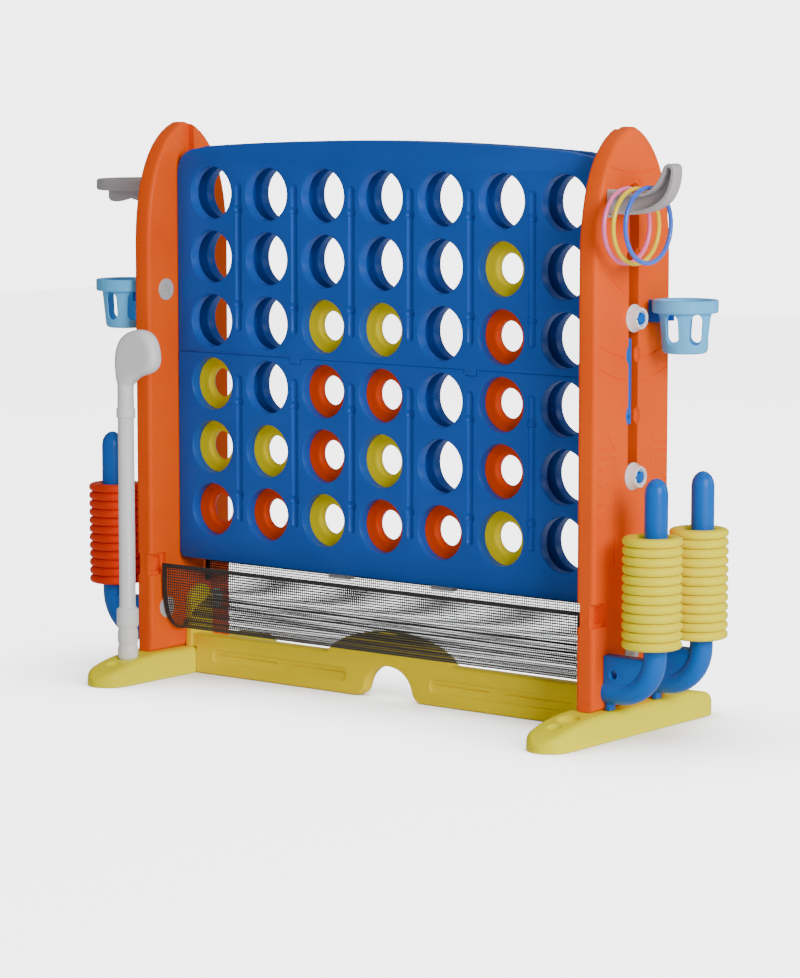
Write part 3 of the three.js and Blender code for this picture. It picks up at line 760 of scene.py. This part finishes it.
def basket_mesh():
    """A tapered cup with a rim and six tall slots."""
    top = 758
    outer = [(0, top - 93), (33, top - 93), (37.6, top - 91.4), (39.8, top - 87), (46.2, top - 24),
             (46.6, top - 22.6), (56, top - 22.4), (57.8, top - 20.6), (58, top - 2.4), (56.2, top - 0.2)]
    inner = [(49, top - 0.2), (46.4, top - 1.6), (44.8, top - 6), (43.4, top - 21),
             (37, top - 86), (34, top - 89), (0, top - 89)]
    cup = lathe(outer + inner, 64)
    tools = []
    for k in range(6):
        tool = plate([stadium(0, top - 77, top - 23.8, 12.2)], 30, 0.01, "YZ", 0)
        tool.transform(Matrix.Rotation(radians(31 + 60 * k), 4, "Z") @ at(45, 0, 0))
        tools.append(tool)
    return combine(cup, tools)


basket_data = basket_mesh()
for side in SIDES:
    mesh = moved(basket_data, at(BASKET_X, BASKET_Y, 0))
    on_side(side, f"ball_basket_{side}", mesh, SKY, f"basket_{side}", f"basket_{side}", 36)

# ---------------------------------------------------------------- hoop
HOOP_X, HOOP_Y = 662, -78


def hoop_mesh(n=144):
    """A rim with a skirt of six shallow lobes, on an arm with an open slit."""
    verts, faces = [], []
    for i in range(n):
        a = 2 * pi * i / n
        skirt = 908 - 7.6 * abs(sin(3 * (a - radians(44)))) ** 0.8
        ring = [(78.4, 940), (80, 943), (83.5, 943.9), (101, 943.9), (104.4, 942.6), (105.5, 939),
                (105.5, 926), (104.2, 923), (101.5, 922), (84, 922), (82.3, 921),
                (82.2, skirt + 0.8), (81.6, skirt), (79.4, skirt), (78.6, skirt + 0.8)]
        verts += [(r * cos(a), r * sin(a), z) for r, z in ring]
        m = len(ring)
        j = (i + 1) % n
        faces += [[i * m + k, j * m + k, j * m + (k + 1) % m, i * m + (k + 1) % m] for k in range(m)]
    ring = mesh_from(verts, faces)
    ring.transform(at(HOOP_X, HOOP_Y, 0))
    arm = block(OUT + 0.4, HOOP_X - 82, HOOP_Y - 25, HOOP_Y + 25, 908, 942, 2.5)
    slit = block(OUT - 5, 575, -96, -60, 900, 930, 2)
    return join(ring, cut(arm, slit))


on_side("left", "ball_hoop", hoop_mesh(), GREY, "stand", "hoop", 40)

# ---------------------------------------------------------------- feet and crossbar
CENTRE, CLUB_Y, DIMPLE_Y = 512.7, -161, -207
FOOT_HALF, FOOT_LONG, FOOT_H = 41, 255, 50


def foot_top(y):
    """Height of the foot's top along its length: a long slope at the toe, a short one at the heel."""
    toe = quad((-100, FOOT_H), (-195, FOOT_H - 1), (-FOOT_LONG - 1, 19), 40)
    heel = quad((150, FOOT_H), (FOOT_LONG - 15, FOOT_H), (FOOT_LONG + 1, 20), 40)
    line = list(reversed(toe)) + heel
    for (y0, z0), (y1, z1) in zip(line, line[1:]):
        if y0 <= y <= y1:
            z = z0 + (z1 - z0) * (y - y0) / (y1 - y0)
    nose = max(0, abs(y) - FOOT_LONG + 22) / 22
    return z - 9 * (1 - sqrt(max(0, 1 - nose * nose)))


def foot_mesh():
    """A foot with rounded ends, a sloping top, the club's socket and a dimple near the toe."""
    verts, faces = [], []
    straight = FOOT_LONG - FOOT_HALF
    nose = [straight + FOOT_HALF * cos(radians(a)) for a in (2, 6, 10, 15, 21, 28, 36, 45, 55, 66, 78)]
    stations = [-y for y in nose] + [-200 + 20 * k for k in range(21)] + nose[::-1]
    for y in stations:
        over = max(0, abs(y) - straight)
        half = sqrt(FOOT_HALF ** 2 - over ** 2)
        top = foot_top(y)
        edge = min(12, half * 0.8, top * 0.5)
        side = [(half - 1, 0), (half, 1)] + arc(half - edge, top - edge, edge, 0, pi / 2, 6)
        ring = side + [(-x, z) for x, z in reversed(side)]
        verts += [(x, y, z) for x, z in ring]
    m = len(ring)
    for i in range(len(stations) - 1):
        a, b = i * m, (i + 1) * m
        faces += [[a + k, a + (k + 1) % m, b + (k + 1) % m, b + k] for k in range(m)]
    faces.append(list(range(m))[::-1])
    faces.append([(len(stations) - 1) * m + k for k in range(m)])
    dimple = ball(0, DIMPLE_Y, foot_top(DIMPLE_Y) + 15, 20, 32)
    hole = lathe([(0, 18), (20.4, 18), (21, 22), (21, 60), (0, 60)], 40)
    hole.transform(at(0, CLUB_Y, 0))
    return cut(mesh_from(verts, faces), dimple, hole)


foot_data = foot_mesh()
for side, x in (("right", CENTRE), ("left", -CENTRE)):
    link(f"foot_{side}_shell", moved(foot_data, at(x, 0, 0)), YELLOW, "stand", f"foot_{side}", 36)

UPRIGHT_SHIFT = 13      # how far the crossbar's end plates stand off the middle, one each way


def crossbar_mesh():
    """The beam between the feet: an arch below, a hump above, two channels and an end plate each way."""
    inner, end, over, top = 471.2, 493.2, 50.4, 76
    half = bezier((-56, 18), (-44, 76), (44, 76), (56, 18), 20)[10:]
    half += quad((56, 18), (61, 2), (76, 0.3), 6)[1:]
    half += [(inner - 3, 0.3), (inner, 3), (inner, over), (end, over), (end, top - 6), (end - 5, top)]
    half += [(196, top)]
    half += bezier((146, top), (96, 140), (-96, 140), (-146, top), 20)[:11]
    line = half + [(-x, z) for x, z in reversed(half[1:-1])]
    mesh = plate([line], 29.6, 3.6)
    tools = []
    for sign in (1, -1):
        outline = rounded([(98, 23), (428, 23), (428, 50), (98, 50)], 13, 8)
        channel = plate([[(sign * u, v) for u, v in outline]], 12, 2.6)
        channel.transform(at(0, -17.6, 0))
        tools.append(channel)
        for a, b in ((107, 232), (268, 412)):
            tools.append(block(*sorted((sign * a, sign * b)), -16, -9, 38, 41.2, 1.2))
    mesh = combine(mesh, tools)
    tongue = [(-32, 50.4), (32, 50.4)] + arc(0, 136, 32, 0, pi, 20)
    ends = []
    for x, y in ((485.6, -UPRIGHT_SHIFT), (-485.6, UPRIGHT_SHIFT)):
        lug = plate([tongue], 15, 2.6, "YZ")
        lug.transform(at(x, y, 0))
        ends.append(lug)
    return join(mesh, *ends)


link("crossbar_shell", crossbar_mesh(), YELLOW_PAINTED_SHADE, "stand", "crossbar", 36)

# ---------------------------------------------------------------- club
CLUB_X = -512.9


def club_mesh():
    """A turned shaft with a ribbed grip, and a blade that is blended into the neck."""
    grip = [(0, 18.4), (18.6, 18.4), (19, 20), (19.2, 34)]
    for z in (40, 70):
        grip += [(18.6, z - 3), (16.8, z), (18.6, z + 3), (19.4, z + 8), (19.4, z + 21)]
    grip += [(18.6, 98), (17.2, 101), (18.8, 104), (20.6, 108), (21, 112), (21, 134), (20.4, 138),
             (17.2, 140.5), (15.4, 143), (15.4, 501.5), (17.4, 502.6), (18, 505), (18, 518),
             (17.2, 520.4), (15.8, 521.4), (15.4, 560), (15, 600), (0, 604)]
    shaft = lathe(grip, 40)
    head = [(-14, 566), (14, 566)]
    head += quad((15, 560), (26, 580), (54, 586))[1:]
    head += quad((54, 586), (84, 592), (84, 617))[1:]
    head += quad((84, 617), (82, 671), (40, 671))[1:]
    head += quad((40, 671), (-17, 668), (-20, 612))[1:-1]
    head += quad((-20, 612), (-20, 585), (-14.6, 566))[:-1]
    blade = plate([head], 33, 13, "XZ", 6)
    neck = lathe([(0, 522), (15.6, 522), (15.6, 600), (0, 601)], 32)
    obj = bpy.data.objects.new("head", join(blade, neck))
    scene.collection.objects.link(obj)
    step = obj.modifiers.new("remesh", "REMESH")
    step.mode = "VOXEL"
    step.voxel_size = 0.0026
    smooth = obj.modifiers.new("smooth", "SMOOTH")
    smooth.factor = 0.6
    smooth.iterations = 14
    return join(shaft, evaluated(obj))


link("club_shell", moved(club_mesh(), at(CLUB_X, CLUB_Y, 0)), WHITE, "club", "club", 50)

# ---------------------------------------------------------------- net
NET_END, MESH = 489.5, 4.9
UPRIGHT_FACE = 475.5    # where a strand stops that would run into a crossbar upright
LONG_HALF, CROSS_HALF, STRAND_THIN = 1.0, 0.9, 0.25
SECTION = [(-87.5, 219), (-87.3, 192), (-86.6, 167), (-84.6, 147), (-80, 127), (-73, 112),
           (-63, 100.5), (-52, 93), (-40, 89.8), (-32, 90.2), (-27, 95), (-23, 104), (-19, 115),
           (-12, 123.5), (-2, 128.5), (10, 133), (22, 139), (31, 147), (35.4, 158), (37, 180),
           (37.2, 218.5)]


def spaced(points, step):
    """Points a step apart along a polyline."""
    lengths = [0]
    for a, b in zip(points, points[1:]):
        lengths.append(lengths[-1] + (Vector(b) - Vector(a)).length)
    count = round(lengths[-1] / step)
    out, k = [], 0
    for i in range(count + 1):
        d = lengths[-1] * i / count
        while k < len(points) - 2 and d > lengths[k + 1]:
            k += 1
        t = (d - lengths[k]) / (lengths[k + 1] - lengths[k])
        out.append(tuple(Vector(points[k]).lerp(Vector(points[k + 1]), t)))
    return out, lengths[-1]


def strand(verts, faces, path, across, half, thin):
    """A flat strand along a path of points in X, Y and Z, its width along across, with closed ends."""
    base = len(verts)
    for i, p in enumerate(path):
        p = Vector(p)
        d = (Vector(path[min(i + 1, len(path) - 1)]) - Vector(path[max(i - 1, 0)])).normalized()
        up = d.cross(Vector(across)).normalized() * thin
        side = Vector(across) * half
        verts += [tuple(p + side * a + up * b) for a, b in ((-1, -1), (1, -1), (1, 1), (-1, 1))]
    for i in range(len(path) - 1):
        for k in range(4):
            after = (k + 1) % 4
            here = base + i * 4
            faces.append([here + k, here + after, here + 4 + after, here + 4 + k])
    faces.append([base + k for k in (3, 2, 1, 0)])
    faces.append([base + (len(path) - 1) * 4 + k for k in range(4)])


def plain_mesh(verts, faces):
    mesh = bpy.data.meshes.new("net")
    mesh.from_pydata([tuple(c * MM for c in v) for v in verts], [], faces)
    return mesh


def clear_of_upright(x, y, z):
    """Whether the net is free of the crossbar's upright at this end."""
    middle = -UPRIGHT_SHIFT if x > 0 else UPRIGHT_SHIFT
    return abs(y - middle) > 34.5 or z > 171


section, girth = spaced(SECTION, MESH)
verts, faces = [], []
for i, (y, z) in enumerate(section):
    low_x = -NET_END if clear_of_upright(-1, y, z) else -UPRIGHT_FACE
    high_x = NET_END if clear_of_upright(1, y, z) else UPRIGHT_FACE
    along = (Vector(section[min(i + 1, len(section) - 1)]) - Vector(section[max(i - 1, 0)])).normalized()
    path = [(low_x, y, z), (0, y, z), (high_x, y, z)]
    strand(verts, faces, path, (0, along.x, along.y), LONG_HALF, STRAND_THIN)
count = round(2 * NET_END / MESH)
fine_path = spaced(SECTION, MESH * 1.6)[0]
for i in range(count + 1):
    x = -NET_END + 2 * NET_END * i / count
    run = []
    for y, z in fine_path:
        if abs(x) < UPRIGHT_FACE or clear_of_upright(x, y, z):
            run.append((x, y, z))
        elif len(run) > 1:
            strand(verts, faces, run, (1, 0, 0), CROSS_HALF, STRAND_THIN)
            run = []
    if len(run) > 1:
        strand(verts, faces, run, (1, 0, 0), CROSS_HALF, STRAND_THIN)
net = link("catch_net", plain_mesh(verts, faces), STRAND, "stand", "net_trough", 0)
net.visible_shadow = False      # strands this fine would shade the parts behind them too much

BAND_SECTION = [(-1, -1), (-0.6, -1.5), (0.6, -1.5), (1, -1), (1, 1), (0.6, 1.5), (-0.6, 1.5), (-1, 1)]


def band(name, paths, width, thick):
    """Webbing: a flat strip along each path, its width across the path given by a direction."""
    verts, faces = [], []
    for path, across in paths:
        base = len(verts)
        across = Vector(across)
        for i, p in enumerate(path):
            p = Vector(p)
            d = (Vector(path[min(i + 1, len(path) - 1)]) - Vector(path[max(i - 1, 0)])).normalized()
            up = d.cross(across).normalized()
            for a, b in BAND_SECTION:
                verts.append(tuple(p + across * a * width / 2 + up * b * thick / 3))
        for i in range(len(path) - 1):
            for k in range(8):
                after = (k + 1) % 8
                here = base + i * 8
                faces.append([here + k, here + after, here + 8 + after, here + 8 + k])
        faces.append([base + k for k in range(7, -1, -1)])
        faces.append([base + (len(path) - 1) * 8 + k for k in range(8)])
    return link(name, mesh_from(verts, faces), BINDING, "stand", (), 50)


edge = [x * 61.2 for x in range(-8, 9)]
front_edge = band("net_band_front", [([(x, -87.6, 215.6) for x in edge], (0, 0, 1))], 8, 2.6)
rear_edge = band("net_band_rear", [([(x, 37.3, 215) for x in edge], (0, 0, 1))], 8, 2.4)
end_paths = []
for x, back in ((-484, -23), (484, -49)):
    front = [(x, y - 0.4, z - 0.3) for y, z in spaced(SECTION, 7)[0] if y < back]
    end_paths.append((front, (1, 0, 0)))
    end_paths.append(([(x, 38.4, z) for z in (174, 195, 219)], (1, 0, 0)))
end_bands = band("net_band_ends", end_paths, 10, 2.8)

# ---------------------------------------------------------------- CAD pieces kept, with their finish
CARRIED = {"release_bar": WHITE, "basket_bracket_left": BLUE, "basket_bracket_right": BLUE}
CARRIED.update({f"column_rail_{n}": BLUE for n in range(1, 7)})
for name, mat in CARRIED.items():
    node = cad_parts[name]
    node.data.materials.clear()
    node.data.materials.append(mat)
    edge_round = node.modifiers.new("edges", "BEVEL")
    edge_round.width = 0.0012
    edge_round.segments = 2
    edge_round.limit_method = "ANGLE"
    edge_round.angle_limit = radians(40)

# ---------------------------------------------------------------- floor, backdrop and light
FLOOR_HALF = 9000
corners = [(x * FLOOR_HALF, y * FLOOR_HALF, -0.5) for x, y in ((-1, -1), (1, -1), (1, 1), (-1, 1))]
floor = link("floor", mesh_from(corners, [[0, 1, 2, 3]]), soft_angle=0)


def pale_floor_painted_shadow(nodes, links, bsdf):
    """A white floor that glows for the camera only, with a painted contact shadow: ambient occlusion dims
    the glow where an object stands close.
    """
    at = nodes.new("ShaderNodeTexCoord")
    cloud = nodes.new("ShaderNodeTexNoise")
    cloud.inputs["Scale"].default_value = 2
    links.new(at.outputs["Object"], cloud.inputs["Vector"])
    tone = nodes.new("ShaderNodeValToRGB")
    tone.color_ramp.elements[0].color = (0.90, 0.90, 0.905, 1)
    tone.color_ramp.elements[1].color = (0.93, 0.93, 0.93, 1)
    links.new(cloud.outputs["Fac"], tone.inputs["Fac"])
    links.new(tone.outputs["Color"], bsdf.inputs["Base Color"])
    bsdf.inputs["Roughness"].default_value = 0.6
    bsdf.inputs["Specular IOR Level"].default_value = 0.2
    glow = nodes.new("ShaderNodeMath")
    glow.operation = "MULTIPLY"
    glow.inputs[1].default_value = 3.7
    # painted contact shadow: ambient occlusion darkens the floor's glow near the objects
    painted_contact_shadow = nodes.new("ShaderNodeAmbientOcclusion")
    painted_contact_shadow.inputs["Distance"].default_value = 0.35
    deeper_painted_shadow = nodes.new("ShaderNodeMath")
    deeper_painted_shadow.operation = "POWER"
    deeper_painted_shadow.inputs[1].default_value = 1.8
    links.new(painted_contact_shadow.outputs["AO"], deeper_painted_shadow.inputs[0])
    camera_ray_painted_shadow = nodes.new("ShaderNodeMath")
    camera_ray_painted_shadow.operation = "MULTIPLY"
    links.new(nodes.new("ShaderNodeLightPath").outputs["Is Camera Ray"], camera_ray_painted_shadow.inputs[0])
    links.new(deeper_painted_shadow.outputs["Value"], camera_ray_painted_shadow.inputs[1])
    links.new(camera_ray_painted_shadow.outputs["Value"], glow.inputs[0])
    bsdf.inputs["Emission Color"].default_value = (1, 1, 1, 1)
    links.new(glow.outputs["Value"], bsdf.inputs["Emission Strength"])


floor.data.materials.clear()
floor.data.materials.append(material("floor_pale_painted_shadow", pale_floor_painted_shadow))

world = bpy.data.worlds.new("studio")
scene.world = world
world.use_nodes = True
sky = world.node_tree.nodes["Background"]
sky.inputs["Color"].default_value = (1, 1, 1, 1)
seen = world.node_tree.nodes.new("ShaderNodeLightPath")
strength = world.node_tree.nodes.new("ShaderNodeMapRange")
strength.inputs["To Min"].default_value = 0.25
strength.inputs["To Max"].default_value = 4.6
world.node_tree.links.new(seen.outputs["Is Camera Ray"], strength.inputs["Value"])
world.node_tree.links.new(strength.outputs["Result"], sky.inputs["Strength"])


def area_light(name, place, target, size, watts, glossy=True):
    data = bpy.data.lights.new(name, "AREA")
    data.shape = "RECTANGLE"
    data.size, data.size_y = size
    data.energy = watts
    obj = bpy.data.objects.new(name, data)
    scene.collection.objects.link(obj)
    obj.location = place
    obj.visible_glossy = glossy
    obj.rotation_euler = (Vector(target) - Vector(place)).to_track_quat("-Z", "Y").to_euler()


area_light("key", (5.1, -2.0, 2.3), (0, 0, 0.5), (2.2, 2.2), 270)
area_light("rim", (3.6, 3.4, 2.2), (0, 0, 0.5), (2.0, 2.0), 30)
area_light("fill", (-1.5, -5.0, 2.6), (0, 0, 0.6), (3.0, 2.4), 22)
area_light("back", (-2.4, 4.8, 2.6), (0, 0, 0.6), (3.0, 2.4), 60, glossy=False)
area_light("top", (0, 0.5, 4.8), (0, 0, 0.4), (4.0, 4.0), 56)
